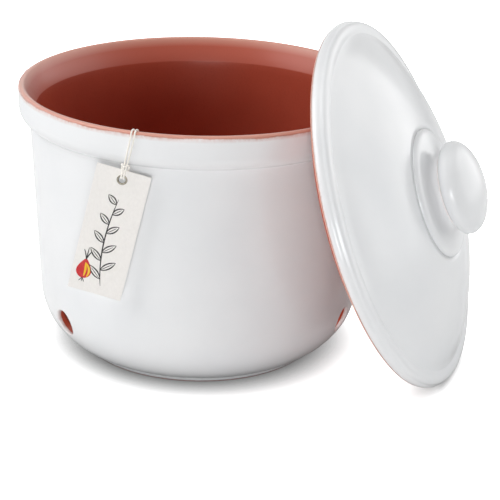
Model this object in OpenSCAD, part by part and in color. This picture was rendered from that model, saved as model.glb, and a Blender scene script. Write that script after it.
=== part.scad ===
// Onion pot: a glazed earthenware jar with vent holes, its lid taken off and leant
// against the rim, and a card tag hung over the rim on a doubled string.
// The origin is the centre of the pot's foot, +Z is up and -Y is the front.

/* [Pot] */
// Outer diameter of the collar round the rim
rim_d = 240; // [200:1:300]
// Height of the pot from its foot to the crest of its lip
pot_h = 179; // [150:1:240]
// Radius of the lip's rounded crest
lip_round = 2.3; // [1.5:0.1:3]
// Straight height of the collar below the lip
collar_h = 11.2; // [6:0.1:18]
// How far the collar stands out from the wall
collar_out = 7; // [4:0.1:10]
// Rounding under the collar
collar_round = 10.3; // [6:0.1:14]
// How much the wall's radius narrows from the collar to the base rounding
wall_taper = 5.7; // [0:0.1:12]
// Height at which the base rounding starts
base_z = 40; // [30:1:60]
// Thickness of the wall
wall_t = 4.6; // [4:0.1:10]
// Thickness of the floor
floor_t = 8.5; // [6:0.1:12]
// Height of the rounding inside, between the wall and the floor
inner_rise = 34; // [15:1:40]
// Diameter of the foot
foot_d = 160; // [130:1:180]
// Height of the upright foot
foot_h = 2.5; // [1.5:0.1:5]
// Height of the bare strip below the glaze
bare_h = 0.6; // [0.4:0.1:1]

/* [Gallery] */
// Depth of the flared gallery below the lip's crest
gallery_depth = 15.6; // [12:0.1:20]
// Inset of the gallery's lower edge from the collar's outside
gallery_in = 11.2; // [9.5:0.1:13]
// How far the flare turns out towards the lip
gallery_flare = 3.7; // [1:0.1:4.5]
// Drop from the lip's crest to where the flare turns
lip_drop = 6.8; // [4:0.1:8]
// Height over which the flare turns
roll_h = 8; // [4:0.1:9]

/* [Vent holes] */
// Number of vent holes round the base
vent_count = 3; // [2:1:6]
// Diameter of a vent hole
vent_d = 17; // [8:0.5:22]
// Height of the vent holes above the foot
vent_z = 31; // [22:0.5:45]
// Direction of the first vent hole in degrees, from +X towards +Y
vent_turn = -26; // [-180:1:180]

/* [Glaze] */
// Thickness of the white glaze coat
glaze_t = 0.6; // [0.3:0.1:1]
// How far up the lip's rounding the glaze reaches in degrees
glaze_turn = 20; // [0:1:60]

/* [Lid] */
// How far the lid's lower edge stands out beyond the collar
lid_over = 0.1; // [-2:0.1:4]
// Rounding of the bare lower edge
lid_edge = 1.2; // [0.8:0.1:1.6]
// Height of the groove above the lower edge
groove_h = 6.6; // [5:0.1:9]
// How far the edge band swells out below the groove
band_swell = 0.9; // [0.4:0.1:1.2]
// Width of the raised bead inside the groove
bead_w = 8.4; // [6:0.1:12]
// Height of the bead's inner side above its outer side
bead_rise = 3.2; // [2:0.1:5]
// How far the bead swells above the line between its two sides
bead_swell = 2.2; // [1:0.1:3]
// Rise of the dome from the bead to the knob's foot
dome_rise = 24.2; // [12:0.1:35]
// Crown of the dome above the straight line from bead to knob
dome_crown = 9.5; // [4:0.1:14]
// Thickness of the lid
lid_t = 9.5; // [7:0.1:12]
// Depth of the locating flange under the lid
flange_h = 6; // [3:0.1:9]
// Thickness of the locating flange
flange_t = 7; // [5:0.1:9]
// Play between the flange and the pot's gallery
flange_play = 1.4; // [1:0.1:4]

/* [Knob] */
// Diameter of the knob's foot
knob_foot_d = 84; // [70:1:100]
// Height of the knob's shoulder above the dome
shoulder_h = 3.7; // [2:0.1:6]
// Width of the shoulder
shoulder_w = 6.5; // [4:0.1:9]
// Diameter of the neck
neck_d = 47; // [36:0.5:52]
// Diameter of the knob's head
head_d = 60.5; // [55:0.5:76]
// Thickness of the knob's head
head_t = 22.8; // [16:0.1:30]
// Height of the head's middle above the dome
head_z = 18.6; // [15:0.1:26]
// Depth of the head's widest ring below its middle
head_sink = 2.5; // [0:0.1:4]

/* [Lid leant on the rim] */
// Direction in which the lid leans on the rim in degrees, from +X towards -Y
lid_turn = 20; // [0:1:40]
// Lean of the lid from upright in degrees
lid_lean = 21.4; // [16:0.1:26]
// Gap left between the lid and the rim
rest_gap = 0.3; // [0.2:0.05:0.6]

/* [Tag] */
// Width of the card
card_w = 34; // [25:1:45]
// Length of the card
card_l = 86; // [60:1:110]
// Thickness of the card
card_t = 0.5; // [0.3:0.1:1]
// Distance of the eyelet from the card's upper edge
eyelet_in = 6.6; // [5:0.1:7]
// Diameter of the eyelet's hole
eyelet_d = 4.2; // [4:0.1:5]
// Diameter of the eyelet's flanges
eyelet_flange_d = 6.6; // [6:0.1:8]
// Thickness of the eyelet's flanges
eyelet_flange_t = 0.4; // [0.2:0.1:0.6]
// Wall of the eyelet's barrel
eyelet_wall = 0.35; // [0.2:0.05:0.5]
// Direction in which the string crosses the rim in degrees, from -Y towards +X
string_turn = -19.8; // [-60:0.1:30]
// Eyelet's distance to the right of where the string crosses the lip
tag_side = -7; // [-10:0.1:0]
// Eyelet's distance outside the middle of the lip
tag_out = 2.8; // [2:0.1:8]
// Eyelet's drop below the middle of the lip
tag_drop = 28.4; // [26:0.1:34]
// Turn of the card away from the wall behind it in degrees
tag_turn = 11.8; // [0:0.1:20]
// Lean of the card in degrees, its lower edge inwards
tag_lean = 3; // [0:0.1:5]
// Tilt of the card in its own plane in degrees, its lower edge to the left
tag_tilt = 13.5; // [0:0.1:25]
// Diameter of the string
string_d = 1.1; // [0.8:0.1:1.2]
// Diameter of the knot in the string's ends
knot_d = 3.8; // [3:0.1:4]
// Length of the knot
knot_l = 5; // [4:0.1:7]

/* [Hidden] */
$fn = 96;
CLAY = [0.72, 0.36, 0.27];
WHITE = [0.93, 0.94, 0.95];
PAPER = [0.95, 0.94, 0.92];
STEEL = [0.70, 0.69, 0.67];
CREAM = [0.93, 0.89, 0.82];
// Segments in a short, a middling and a long curve
FEW = 5;
SOME = 9;
MANY = 16;
FULL_TURN = 360;
// Sweep of the base rounding, from the wall to the foot
BASE_SWEEP = 66.5;
// Chamfer under the foot's edge and the reach of the fillets in the gallery
FOOT_CHAMFER = 0.6;
FILLET = 1.2;
// Soft crease between the wall and the collar: its width and its drop
CREASE_W = 0.9;
CREASE_H = 0.3;
// How far the lid's groove lies inside its lower edge
GROOVE_IN = 0.3;
// Upright edge at the knob's foot, and how softly its shoulder and neck turn
KNOB_EDGE = 0.3;
SHOULDER_SOFT = 1;
HEAD_SQUARE = 2.6;
NECK_SOFT = [1, 0.6];
// Where the gap between lid and rim is measured, and how often the lid is brought nearer
RIM_STEP = 2;
RIM_REACH = 60;
LEAN_TRIES = 20;

// Curves in the plane of radius and height
function arc(c, r, a0, a1, n) =
    [for (i = [0:n]) let (a = a0 + (a1 - a0) * i / n) c + r * [cos(a), sin(a)]];
function curve(p0, p1, p2, n) =
    [for (i = [0:n]) let (s = i / n) (1 - s) * (1 - s) * p0 + 2 * s * (1 - s) * p1 + s * s * p2];
function towards(p, q, d) = p + (q - p) * d / norm(q - p);
function fillet(before, p, after) =
    curve(towards(p, before, FILLET), p, towards(p, after, FILLET), FEW);
function reversed(list) = [for (i = [len(list) - 1:-1:0]) list[i]];
// Circle through two points, bulging by s to the right of the way from p to q
function bulge_r(p, q, s) = (norm(q - p) * norm(q - p) / 4 + s * s) / (2 * s);
function bulge_c(p, q, s) =
    let (u = (q - p) / norm(q - p)) (p + q) / 2 + (s - bulge_r(p, q, s)) * [u[1], -u[0]];
function bulge(p, q, s, inset, n) =
    let (c = bulge_c(p, q, s),
         a0 = atan2(p[1] - c[1], p[0] - c[0]),
         a1 = atan2(q[1] - c[1], q[0] - c[0]))
    arc(c, bulge_r(p, q, s) - inset, a0, a1, n);

// Pot: outline of the outside, at a depth below the glaze's surface
rim_r = rim_d / 2;
lip_c = [rim_r - lip_round, pot_h - lip_round];
collar_c = [rim_r - collar_round, pot_h - lip_round - collar_h];
wall_top_r = rim_r - collar_out;
collar_a = -acos((wall_top_r + CREASE_W - collar_c[0]) / collar_round);
wall_top = [wall_top_r, collar_c[1] + collar_round * sin(collar_a) - CREASE_H];
wall_low = [wall_top_r - wall_taper, base_z];
wall_a = atan((wall_top[0] - wall_low[0]) / (wall_top[1] - wall_low[1]));
wall_n = [cos(wall_a), -sin(wall_a)];
wall_up = [sin(wall_a), cos(wall_a)];
foot_top = [foot_d / 2, foot_h];
// A rounding that leaves the wall at p, w wide and h high, and ends after a sweep
function rounding(p, w, h, sweep, inset, n) =
    [for (i = [0:n])
        let (a = sweep * i / n, d = -w * sin(a) * [1, 0] - h * cos(a) * wall_up)
        p - w * (1 - cos(a)) * [1, 0] - h * sin(a) * wall_up - inset * [-d[1], d[0]] / norm(d)];
base_rise = (base_z - foot_h) / (sin(BASE_SWEEP) * wall_up[1]);
base_in = (wall_low[0] - foot_top[0] - base_rise * sin(BASE_SWEEP) * wall_up[0]) / (1 - cos(BASE_SWEEP));
function pot_outside(inset) = concat(
    [[foot_top[0] - inset, bare_h]],
    reversed(rounding(wall_low, base_in, base_rise, BASE_SWEEP, inset, MANY)),
    [wall_top - inset * wall_n],
    arc(collar_c, collar_round - inset, collar_a, 0, SOME),
    arc(lip_c, lip_round - inset, 0, glaze_turn, FEW));

// Pot: outline of the inside, from the lip down to the floor
wall_k = wall_n * wall_low - wall_t;
function inner_wall(z) = [(wall_k - wall_n[1] * z) / wall_n[0], z];
gallery_low = [rim_r - gallery_in, pot_h - gallery_depth];
gallery_top = [rim_r - gallery_in + gallery_flare, pot_h - lip_drop];
inner_low = inner_wall(floor_t + inner_rise);
inner_in = inner_low[0] - wall_low[0] + base_in;
lip_a = atan2(gallery_top[1] - lip_c[1], gallery_top[0] - lip_c[0]) + FULL_TURN
    - acos(lip_round / norm(gallery_top - lip_c));
lip_end = lip_c + lip_round * [cos(lip_a), sin(lip_a)];
pot_inside = concat(
    arc(lip_c, lip_round, glaze_turn, lip_a, SOME),
    curve(towards(lip_end, gallery_top, FILLET), gallery_top,
          towards(gallery_top, gallery_low, roll_h), SOME),
    fillet(gallery_top, gallery_low, inner_low),
    rounding(inner_low, inner_in, inner_rise / wall_up[1], 90, 0, MANY),
    [[0, floor_t]]);

// Lid: outlines in its own frame, its axis up and its lower edge at zero
lid_r = rim_r + lid_over;
band_low = [lid_r, lid_edge];
groove = [lid_r - GROOVE_IN, groove_h];
crease = groove + [-bead_w, bead_rise];
knob_r = knob_foot_d / 2;
dome_top = crease[1] + dome_rise;
function dome(r) =
    let (s = (crease[0] - r) / (crease[0] - knob_r),
         crown = crease[1] + dome_rise / 2 + dome_crown)
    (1 - s) * (1 - s) * crease[1] + 2 * s * (1 - s) * crown + s * s * dome_top;
function dome_line(r0, r1, drop, n) =
    [for (i = [0:n]) let (r = r0 + (r1 - r0) * i / n) [r, dome(r) - drop]];
function lid_outside(inset) = concat(
    bulge(band_low, groove, band_swell, inset, FEW),
    bulge(groove, crease, bead_swell, inset, SOME),
    dome_line(crease[0] - FILLET / 2, knob_r, inset, MANY));
flange_out = rim_r - gallery_in - flange_play;
flange_inside = flange_out - flange_t;
flange_round = flange_t / 3;
lid_underside = concat(
    [[0, dome_top - lid_t]],
    dome_line(knob_r, flange_inside, lid_t, SOME),
    arc([flange_inside + flange_round, flange_round - flange_h], flange_round, 180, 270, FEW),
    arc([flange_out - flange_round, flange_round - flange_h], flange_round, -90, 0, FEW),
    [[flange_out, 0]],
    arc([lid_r - lid_edge, lid_edge], lid_edge, -90, 0, FEW));

// Knob: outline in the lid's frame
shoulder = [knob_r - shoulder_w, dome_top + shoulder_h];
head_w = dome_top + head_z - head_sink;
head_down = head_t / 2 - head_sink;
head_up = head_t / 2 + head_sink;
function other_side(s) = pow(1 - pow(s, HEAD_SQUARE), 1 / HEAD_SQUARE);
neck_u = other_side(neck_d / head_d);
neck = [neck_d / 2, head_w - head_down * neck_u];
knob_side = concat(
    curve([knob_r, dome_top + KNOB_EDGE], [knob_r - SHOULDER_SOFT, shoulder[1]], shoulder, FEW),
    curve(shoulder, [neck[0], shoulder[1]] + NECK_SOFT, neck, SOME),
    [for (i = [1:SOME]) let (u = neck_u * cos(90 * i / SOME))
        [head_d / 2 * other_side(u), head_w - head_down * u]],
    [for (i = [1:MANY]) let (a = 90 * i / MANY)
        [head_d / 2 * cos(a), head_w + head_up * sin(a)]]);

// Where the lid stands: its clay edge on the table, its underside the rest gap off the rim.
// The lid comes in from far off, each time by the room that is still left.
lid_z = (lid_r - lid_edge) * cos(lid_lean) + lid_edge * (1 - sin(lid_lean));
function segment_gap(p, a, b) =
    let (s = max(0, min(1, (p - a) * (b - a) / ((b - a) * (b - a))))) norm(p - a - s * (b - a));
function underside_gap(p) =
    min([for (i = [1:len(lid_underside) - 2]) segment_gap(p, lid_underside[i], lid_underside[i + 1])]);
function in_lid(p, x) =
    let (d = p - [x, 0, lid_z],
         down = d * [sin(lid_lean), 0, -cos(lid_lean)],
         along = d * [cos(lid_lean), 0, sin(lid_lean)])
    [norm([down, d[1]]), along];
function rim_gap(x) =
    min([for (a = [0:RIM_STEP:RIM_REACH], z = [lip_c[1], collar_c[1]])
        underside_gap(in_lid([lip_c[0] * cos(a), lip_c[0] * sin(a), z], x))]) - lip_round;
function lean_in(x, n) = n == 0 ? x : lean_in(x - (rim_gap(x) - rest_gap), n - 1);
stand_off = lean_in(rim_r + lid_r, LEAN_TRIES);

// Frames of the string's crossing and of the tag, as matrices
function turn_z(a) = [[cos(a), -sin(a), 0], [sin(a), cos(a), 0], [0, 0, 1]];
function turn_x(a) = [[1, 0, 0], [0, cos(a), -sin(a)], [0, sin(a), cos(a)]];
function turn_y(a) = [[cos(a), 0, sin(a)], [0, 1, 0], [-sin(a), 0, cos(a)]];
lip_turn = turn_z(string_turn);
lip_at = lip_turn * [0, -lip_c[0], lip_c[1]];
card_turn = lip_turn * turn_z(tag_turn) * turn_x(tag_lean) * turn_y(tag_tilt);
eyelet_at = lip_at + lip_turn * [tag_side, -tag_out, -tag_drop];
function from_lip(p) = lip_at + lip_turn * p;
function from_eyelet(p) = eyelet_at + card_turn * p;
function as_matrix(turn, at) =
    [for (i = [0:2]) concat(turn[i], [at[i]])];

// Route of the string's right half. First from the middle of the lip: up the inside from the
// knot, over the lip and down to the collar. Then from the middle of the eyelet: down the
// collar, under the loop, through the eyelet to the back, up behind the card and over its edge.
// Points are right, inwards and up.
KNOT_AT = [0, 13.5, -62];
OVER_LIP = [
    [0.6, 13.3, -60], [0.8, 11.9, -50], [0.9, 11.15, -40], [1, 10.55, -28], [1.1, 10, -18],
    [1.15, 9.75, -13.3], [1.15, 9.05, -11.5], [1.15, 7.55, -8], [1.15, 6.05, -4.8], [1.15, 4.65, -2],
    [1.15, 2.75, 1.5], [1.15, 1.9, 2.55], [1.15, 0, 3.2], [1.15, -1.7, 2.75], [1.15, -2.85, 1.5],
    [1.15, -3.3, 0]];
THROUGH_EYELET = [
    [1.1, -0.5, 25.5], [1.05, -0.5, 22], [1, -0.5, 18], [0.9, -0.5, 14.5], [0.8, -0.5, 11.5],
    [0.75, -0.7, 9.3], [0.75, -1.4, 7], [0.75, -2, 5], [0.75, -2.2, 3.4], [0.75, -1.9, 2.1],
    [0.75, -1.1, 1.2], [0.75, 0, 1], [0.8, 1.1, 1.15], [1, 1.9, 2.1], [1.4, 2.2, 3.4],
    [1.9, 2.1, 5.5], [2.2, 1.6, 7.6], [2.3, 0.7, 9.4], [2.2, -0.5, 10.3], [1.7, -1.6, 10.3],
    [0.9, -2.2, 9.9]];
LOOP_FRONT = [0, -2.3, 9.7];
function across(p) = [-p[0], p[1], p[2]];
function half_route(side) = concat(
    [for (p = OVER_LIP) from_lip(side > 0 ? p : across(p))],
    [for (p = THROUGH_EYELET) from_eyelet(side > 0 ? p : across(p))]);
string_route = concat(half_route(1), [from_eyelet(LOOP_FRONT)], reversed(half_route(-1)));

// A tube swept along a route: each ring turns as little as it can from the last
STRING_SIDES = 8;
function unit(v) = v / norm(v);
function heading(route, i) =
    unit(route[min(i + 1, len(route) - 1)] - route[max(i - 1, 0)]);
function level(v, along) = unit(v - (v * along) * along);
function ring_sides(route, i, last) =
    let (side = level(last, heading(route, i)))
    i == len(route) - 1 ? [side] : concat([side], ring_sides(route, i + 1, side));
module tube(route, r) {
    sides = ring_sides(route, 0, [1, 0, 0]);
    last = len(route) - 1;
    points = [for (i = [0:last], k = [0:STRING_SIDES - 1])
        let (a = FULL_TURN * k / STRING_SIDES, up = cross(heading(route, i), sides[i]))
        route[i] + r * (cos(a) * sides[i] + sin(a) * up)];
    walls = [for (i = [0:last - 1], k = [0:STRING_SIDES - 1], half = [0, 1])
        let (next = (k + 1) % STRING_SIDES,
             a = i * STRING_SIDES + k,
             b = i * STRING_SIDES + next,
             c = a + STRING_SIDES,
             d = b + STRING_SIDES)
        half == 0 ? [a, c, b] : [b, c, d]];
    first_cap = [for (k = [0:STRING_SIDES - 1]) k];
    last_cap = [for (k = [STRING_SIDES - 1:-1:0]) last * STRING_SIDES + k];
    polyhedron(points, concat([first_cap], walls, [last_cap]));
}

module vents() {
    for (i = [0:vent_count - 1])
        rotate([0, 0, vent_turn + FULL_TURN * i / vent_count])
            translate([0, 0, vent_z])
                rotate([0, 90, 0])
                    cylinder(d = vent_d, h = rim_r);
}

module at_lid() {
    rotate([0, 0, -lid_turn])
        translate([stand_off, 0, lid_z])
            rotate([0, 90 - lid_lean, 0])
                children();
}

module at_eyelet() {
    multmatrix(as_matrix(card_turn, eyelet_at)) children();
}

// Clay body of the pot, bare inside, on the lip and on the foot
module pot_body() {
    color(CLAY)
        difference() {
            rotate_extrude()
                polygon(concat(
                    [[0, 0], [foot_top[0] - FOOT_CHAMFER, 0], [foot_top[0], bare_h]],
                    pot_outside(glaze_t),
                    pot_inside));
            vents();
        }
}

// White coat fused to the pot's outside
module pot_glaze() {
    color(WHITE)
        difference() {
            rotate_extrude()
                polygon(concat(pot_outside(0), reversed(pot_outside(glaze_t))));
            vents();
        }
}

// Clay body of the lid, hollow below, with a flange that drops into the pot's gallery
module lid_body() {
    color(CLAY)
        at_lid()
            rotate_extrude()
                polygon(concat(
                    lid_underside,
                    lid_outside(glaze_t),
                    [[0, dome_top - glaze_t]]));
}

// White coat fused to the lid's upper side, up to the crease round the knob
module lid_glaze() {
    color(WHITE)
        at_lid()
            rotate_extrude()
                polygon(concat(lid_outside(0), reversed(lid_outside(glaze_t))));
}

// Knob, thrown apart and luted to the lid
module lid_knob() {
    color(WHITE)
        at_lid()
            rotate_extrude()
                polygon(concat(
                    [[0, dome_top - glaze_t], [knob_r, dome_top - glaze_t]],
                    knob_side));
}

// Card of the tag, with the hole for its eyelet
module tag_card() {
    color(PAPER)
        at_eyelet()
            difference() {
                translate([-card_w / 2, -card_t / 2, eyelet_in - card_l])
                    cube([card_w, card_t, card_l]);
                rotate([90, 0, 0])
                    cylinder(d = eyelet_d + 2 * eyelet_wall, h = 2 * card_t, center = true);
            }
}

// Metal eyelet set in the card
module tag_eyelet() {
    barrel_r = eyelet_d / 2 + eyelet_wall;
    half_t = card_t / 2 + eyelet_flange_t;
    color(STEEL)
        at_eyelet()
            rotate([90, 0, 0])
                rotate_extrude()
                    polygon([
                        [eyelet_d / 2, -half_t], [eyelet_flange_d / 2, -half_t],
                        [eyelet_flange_d / 2, -card_t / 2], [barrel_r, -card_t / 2],
                        [barrel_r, card_t / 2], [eyelet_flange_d / 2, card_t / 2],
                        [eyelet_flange_d / 2, half_t], [eyelet_d / 2, half_t]]);
}

// String, doubled over the lip and looped through the eyelet
module tag_string() {
    color(CREAM) tube(string_route, string_d / 2);
}

// Knot that ties the string's two ends, inside the pot
module string_knot() {
    color(CREAM)
        translate(from_lip(KNOT_AT))
            rotate_extrude()
                polygon([for (i = [0:MANY]) let (a = -90 + 180 * i / MANY)
                    [knot_d / 2 * cos(a), knot_l / 2 * sin(a)]]);
}

pot_body();
pot_glaze();
lid_body();
lid_glaze();
lid_knob();
tag_card();
tag_eyelet();
tag_string();
string_knot();
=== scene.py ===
"""Looks of an earthenware onion pot: white glaze over terracotta, a lid leant on the rim, a card tag.

Smooth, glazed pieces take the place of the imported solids, in the same frame and in metres:
+Z is up, -Y is the front, and the origin is the middle of the pot's foot.
"""

import math

import bmesh
import bpy
import numpy as np
from mathutils import Matrix, Vector


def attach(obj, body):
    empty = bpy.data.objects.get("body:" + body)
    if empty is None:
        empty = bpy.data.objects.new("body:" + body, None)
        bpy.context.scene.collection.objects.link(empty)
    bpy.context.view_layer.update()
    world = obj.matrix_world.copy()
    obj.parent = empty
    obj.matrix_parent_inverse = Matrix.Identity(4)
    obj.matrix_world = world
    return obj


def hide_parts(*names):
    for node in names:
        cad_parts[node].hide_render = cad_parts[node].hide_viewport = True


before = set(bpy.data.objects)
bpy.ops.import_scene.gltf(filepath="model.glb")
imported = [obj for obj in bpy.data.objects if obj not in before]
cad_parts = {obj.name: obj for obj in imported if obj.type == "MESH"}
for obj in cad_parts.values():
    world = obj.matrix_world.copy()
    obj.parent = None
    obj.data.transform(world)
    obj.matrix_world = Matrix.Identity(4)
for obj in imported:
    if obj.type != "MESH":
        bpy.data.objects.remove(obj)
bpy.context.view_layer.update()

MM = 0.001

# Sizes of the pot, the lid and the tag, repeated from the part's source
RIM_R = 120 * MM
POT_H = 179 * MM
LIP_ROUND = 2.3 * MM
COLLAR_H = 11.2 * MM
COLLAR_OUT = 7 * MM
COLLAR_ROUND = 10.3 * MM
CREASE = np.array([0.9, 0.3]) * MM
WALL_TAPER = 5.7 * MM
BASE_Z = 40 * MM
BASE_SWEEP = 66.5
WALL_T = 4.6 * MM
FLOOR_T = 8.5 * MM
INNER_RISE = 34 * MM
FOOT_R = 80 * MM
FOOT_H = 2.5 * MM
FOOT_CHAMFER = 0.6 * MM
BARE_H = 0.6 * MM
GALLERY_DEPTH = 15.6 * MM
GALLERY_IN = 11.2 * MM
GALLERY_FLARE = 3.7 * MM
LIP_DROP = 6.8 * MM
ROLL_H = 8 * MM
VENT_COUNT = 3
VENT_R = 8.5 * MM
VENT_Z = 31 * MM
VENT_TURN = -26
GLAZE_T = 0.6 * MM
GLAZE_TURN = 20
LID_R = 120.1 * MM
LID_EDGE = 1.2 * MM
GROOVE = np.array([119.8, 6.6]) * MM
BAND_SWELL = 0.9 * MM
BEAD = np.array([-8.4, 3.2]) * MM
BEAD_SHOULDER = np.array([119.7, 10.2]) * MM
BEAD_TOP = np.array([115.2, 10.2]) * MM
BEAD_INNER = np.array([112.2, 10.2]) * MM
DOME_RISE = 24.2 * MM
DOME_CROWN = 9.5 * MM
LID_T = 9.5 * MM
FLANGE_H = 6 * MM
FLANGE_T = 7 * MM
FLANGE_PLAY = 1.4 * MM
KNOB_R = 42 * MM
SHOULDER = np.array([-6.5, 3.7]) * MM
NECK_R = 23.5 * MM
HEAD_R = 30.25 * MM
HEAD_T = 22.8 * MM
HEAD_Z = 18.6 * MM
HEAD_SINK = 2.5 * MM
HEAD_SQUARE = 2.6
LID_TURN = 20
LID_LEAN = 21.4
CARD_W = 34 * MM
CARD_L = 86 * MM
CARD_T = 0.5 * MM
EYELET_IN = 6.6 * MM
EYELET_R = 2.1 * MM
EYELET_WALL = 0.35 * MM
EYELET_FLANGE_R = 3.3 * MM
EYELET_FLANGE_T = 0.4 * MM
STRING_TURN = -19.8
TAG_AT = np.array([-7, -2.8, -28.4]) * MM
TAG_TURN = 11.8
TAG_LEAN = 3
TAG_TILT = 13.5
STRING_D = 1.1 * MM

# Camera, found by fitting the rim, the wall and the base to the photograph
CAMERA_AT = np.array([0, -1098.99, 489.50]) * MM
CAMERA_LENS = 124.89
CAMERA_SENSOR = 36
CAMERA_CLIP = (0.05, 50)
CAMERA_YAW = 1.777
CAMERA_PITCH = 21.288
CAMERA_ROLL = 1.574

# Fineness of the meshes
SEGMENTS = 264
FINE_STEP = 0.25 * MM
ROW_TURN = 7
ROW_STRIDE = 5 * MM


def turned(axis, degrees):
    """Rotation about one axis as a 3 by 3 array."""
    return np.array(Matrix.Rotation(math.radians(degrees), 3, axis))


def smooth_step(x):
    """0 below 0, 1 above 1, and a soft S between."""
    x = np.clip(x, 0, 1)
    return x * x * (3 - 2 * x)


# Camera

def make_camera():
    data = bpy.data.cameras.new("camera")
    data.lens = CAMERA_LENS
    data.sensor_width = CAMERA_SENSOR
    data.clip_start, data.clip_end = CAMERA_CLIP
    camera = bpy.data.objects.new("camera", data)
    turn = turned("Z", -CAMERA_YAW) @ turned("X", 90 - CAMERA_PITCH) @ turned("Z", CAMERA_ROLL)
    camera.matrix_world = Matrix.Translation(CAMERA_AT) @ Matrix(turn).to_4x4()
    bpy.context.scene.collection.objects.link(camera)
    bpy.context.scene.camera = camera


# Lines: resampled, softened, thinned out

def lengths_along(line):
    return np.concatenate([[0], np.cumsum(np.linalg.norm(np.diff(line, axis=0), axis=1))])


def soften(line, reach, step=FINE_STEP):
    """The line at even steps, its corners rounded off over about the given reach, its ends held."""
    line = np.asarray(line, float)
    along = lengths_along(line)
    at = np.linspace(0, along[-1], max(4, round(along[-1] / step)) + 1)
    even = np.column_stack([np.interp(at, along, c) for c in line.T])
    pad = min(len(even) - 1, max(1, round(3 * reach / step)))
    weights = np.exp(-0.5 * (np.arange(-pad, pad + 1) * step / reach) ** 2)
    before = 2 * even[0] - even[pad:0:-1]
    after = 2 * even[-1] - even[-2:-pad - 2:-1]
    padded = np.concatenate([before, even, after])
    return np.column_stack([np.convolve(c, weights / weights.sum(), mode="valid") for c in padded.T])


def thinned(line):
    """Only the points that the line's curves need."""
    way = np.diff(line, axis=0)
    heading = np.unwrap(np.arctan2(way[:, 1], way[:, 0]))
    along = lengths_along(line)
    kept = [0]
    for i in range(1, len(line) - 1):
        turn = abs(heading[i] - heading[kept[-1]])
        if turn > math.radians(ROW_TURN) or along[i] - along[kept[-1]] > ROW_STRIDE:
            kept.append(i)
    return line[kept + [len(line) - 1]]


def normals(line):
    """Unit normals to the right of the way along a line."""
    way = np.gradient(line, axis=0)
    way /= np.linalg.norm(way, axis=1, keepdims=True)
    return np.column_stack([way[:, 1], -way[:, 0]])


def arc(centre, radius, start, end, count=24):
    a = np.radians(np.linspace(start, end, count + 1))
    return np.column_stack([centre[0] + radius * np.cos(a), centre[1] + radius * np.sin(a)])


def curve(p, q, r, count=24):
    """Curve from p to r, pulled towards q."""
    s = np.linspace(0, 1, count + 1)[:, None]
    return (1 - s) ** 2 * np.asarray(p) + 2 * s * (1 - s) * np.asarray(q) + s ** 2 * np.asarray(r)


def bulge(p, q, swell, count=24):
    """Arc from p to q that swells to the right of the straight way."""
    p, q = np.asarray(p), np.asarray(q)
    chord = np.linalg.norm(q - p)
    radius = (chord ** 2 / 4 + swell ** 2) / (2 * swell)
    right = np.array([q[1] - p[1], p[0] - q[0]]) / chord
    centre = (p + q) / 2 + (swell - radius) * right
    start, end = (math.degrees(math.atan2(*(x - centre)[::-1])) for x in (p, q))
    return arc(centre, radius, start, end, count)


# Meshes

def make_piece(name, verts, faces, material, body, replaces=(), place=None, thin=None,
               welded=0.0, smooth=True):
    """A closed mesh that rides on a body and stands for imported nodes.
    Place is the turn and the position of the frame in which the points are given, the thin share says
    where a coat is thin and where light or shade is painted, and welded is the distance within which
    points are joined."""
    if place is not None:
        verts = np.asarray(verts) @ place[0].T + place[1]
    mesh = bpy.data.meshes.new(name)
    mesh.from_pydata([tuple(v) for v in verts], [], faces)
    if thin is not None:
        attribute = mesh.attributes.new("thin", "FLOAT", "POINT")
        attribute.data.foreach_set("value", np.asarray(thin, np.float32))
    work = bmesh.new()
    work.from_mesh(mesh)
    if welded:
        bmesh.ops.remove_doubles(work, verts=work.verts, dist=welded)
    bmesh.ops.recalc_face_normals(work, faces=work.faces)
    for face in work.faces:
        face.smooth = smooth
    work.to_mesh(mesh)
    work.free()
    mesh.materials.append(material)
    piece = bpy.data.objects.new(name, mesh)
    bpy.context.scene.collection.objects.link(piece)
    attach(piece, body)
    if replaces:
        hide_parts(*replaces)
    return piece


def spun(outline, start=0.0, segments=SEGMENTS):
    """Points of an outline of radius and height turned about Z: row, column, place."""
    a = math.radians(start) + 2 * math.pi * np.arange(segments) / segments
    r, z = outline.T
    return np.stack([np.outer(r, np.cos(a)), np.outer(r, np.sin(a)), np.outer(z, np.ones(segments))], -1)


def grid_faces(rows, columns, closed, holes=()):
    """Quads between rows of points that close round, apart from those named in holes."""
    left_out = set(holes)
    faces = []
    for i in range(rows if closed else rows - 1):
        for j in range(columns):
            if (i, j) not in left_out:
                k, n = (i + 1) % rows, (j + 1) % columns
                faces.append((i * columns + j, i * columns + n, k * columns + n, k * columns + j))
    return faces


def swept(path, section, start_normal=(1.0, 0.0, 0.0)):
    """Rings of a section, given for each place along the path, carried along without twisting."""
    way = np.gradient(path, axis=0)
    way /= np.linalg.norm(way, axis=1, keepdims=True)
    side = np.array(start_normal)
    rings = []
    for place, ahead, ring in zip(path, way, section):
        side = side - (side @ ahead) * ahead
        side /= np.linalg.norm(side)
        rings.append(place + np.outer(ring[:, 0], side) + np.outer(ring[:, 1], np.cross(ahead, side)))
    return np.array(rings)


def tube_mesh(rings):
    """Points and faces of a tube with both ends capped."""
    count, sides = rings.shape[:2]
    faces = grid_faces(count, sides, False)
    faces.append(tuple(range(sides - 1, -1, -1)))
    faces.append(tuple(range((count - 1) * sides, count * sides)))
    return rings.reshape(-1, 3), faces


def joined(parts):
    """Points and faces of several meshes as one."""
    verts, faces = [], []
    for part, part_faces in parts:
        faces += [tuple(i + len(verts) for i in face) for face in part_faces]
        verts += list(part)
    return verts, faces


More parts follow.
